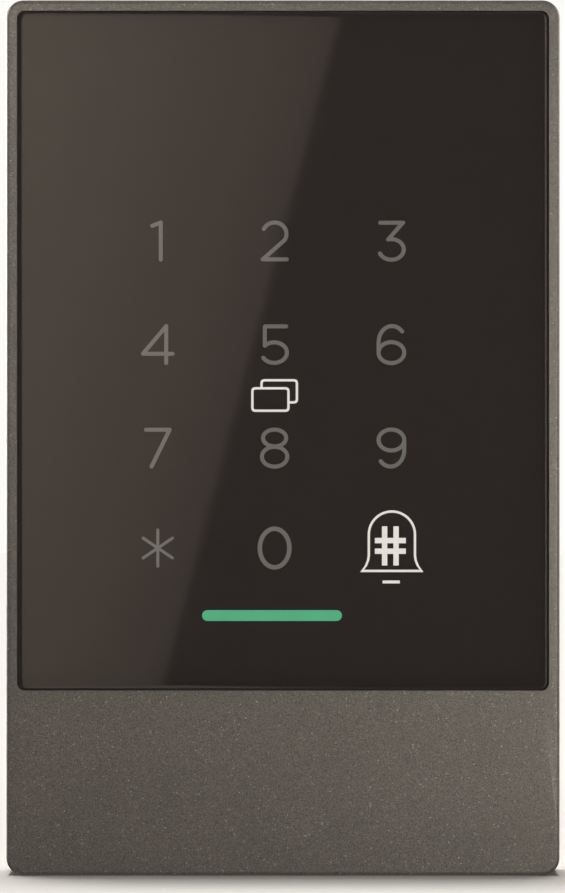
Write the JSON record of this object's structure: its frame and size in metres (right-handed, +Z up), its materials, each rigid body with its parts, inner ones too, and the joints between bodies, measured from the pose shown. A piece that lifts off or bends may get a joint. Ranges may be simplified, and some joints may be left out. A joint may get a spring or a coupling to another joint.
{
  "type": "keypad access reader",
  "caption": "Slim wall-mounted access reader with a black glass touch keypad, status light and bell key in a dark metal housing that hooks onto a steel wall plate.",
  "frame": {"origin": "centre of the wall plate's four-screw pattern, on the plate's rear face, which is the wall plane; it is level with the middle of the housing", "axes": "+X to the right seen from the front, +Y into the wall, +Z up; the glass faces -Y"},
  "size_m": [0.079, 0.0155, 0.125],
  "materials": {
    "housing_coat": "fine-grained metallic powder coat, dark gunmetal",
    "panel_glass": "clear polished toughened glass",
    "mask_ink": "opaque black printed film",
    "grey_ink": "translucent warm grey print",
    "white_ink": "translucent white print",
    "status_green": "translucent green diffuser, lit",
    "foam_tape": "black closed-cell foam tape",
    "white_plastic": "white reflective moulding",
    "light_guide": "frosted clear acrylic",
    "spring_gold": "gold-plated spring wire",
    "led_resin": "clear resin on a white carrier",
    "antenna_copper": "enamelled copper wire",
    "board_green": "green solder mask with copper traces",
    "chip_black": "moulded epoxy",
    "tinned_steel": "tin-plated sheet",
    "screw_steel": "bright stainless steel",
    "plate_steel": "zinc-plated sheet steel",
    "relay_black": "black relay case",
    "capacitor_can": "aluminium can with a black marked edge",
    "ferrite": "sintered ferrite",
    "connector_plastic": "cream nylon",
    "cover_plastic": "fine spark-textured black plastic",
    "seal_rubber": "black silicone",
    "plunger_plastic": "white acetal",
    "button_plastic": "red acetal"
  },
  "bodies": {
    "wall_bracket": {"wall_plate": "plate_steel", "clinch_nut": "screw_steel"},
    "reader": {"front_housing": "housing_coat", "glass_panel": "panel_glass", "printed_mask": "mask_ink", "key_legends": "grey_ink", "card_icon": "white_ink", "bell_symbol": "white_ink", "status_window": "status_green", "panel_adhesive": "foam_tape", "backlight_frame": "white_plastic", "status_light_guide": "light_guide", "touch_springs": "spring_gold", "key_leds": "led_resin", "status_leds": "led_resin", "card_antenna": "antenna_copper", "touch_board": "board_green", "touch_controller": "chip_black", "frame_screws": "screw_steel", "board_link_plug": "connector_plastic", "board_link_socket": "connector_plastic", "main_board": "board_green", "main_controller": "chip_black", "clock_crystal": "tinned_steel", "radio_shield": "tinned_steel", "lock_relay": "relay_black", "sounder": "chip_black", "filter_capacitors": "capacitor_can", "power_inductor": "ferrite", "wire_header": "connector_plastic", "header_pins": "spring_gold", "tamper_switch": "chip_black", "tamper_spring": "screw_steel", "reset_switch": "chip_black", "rear_seal": "seal_rubber", "rear_cover": "cover_plastic", "cover_screws": "screw_steel"},
    "security_screw": {"security_screw": "screw_steel"},
    "tamper_plunger": {"tamper_plunger": "plunger_plastic"},
    "reset_button": {"reset_button": "button_plastic"}
  },
  "joints": [
    {"name": "reader_swing", "type": "hinge", "parent": "wall_bracket", "child": "reader", "pos_m": [0, -0.0022, 0.0604], "axis": [-1, 0, 0], "range_deg": [0, 15]},
    {"name": "security_screw_travel", "type": "slide", "parent": "wall_bracket", "child": "security_screw", "axis": [0, 0, -1], "range_m": [0, 0.006]},
    {"name": "tamper_travel", "type": "slide", "parent": "reader", "child": "tamper_plunger", "axis": [0, 1, 0], "range_m": [0, 0.0014], "stiffness_N_per_m": 200, "springref_m": 0.003, "deforming": ["tamper_spring"]},
    {"name": "reset_press", "type": "slide", "parent": "reader", "child": "reset_button", "axis": [0, -1, 0], "range_m": [0, 0.00025], "stiffness_N_per_m": 1500, "springref_m": -0.0002}
  ]
}
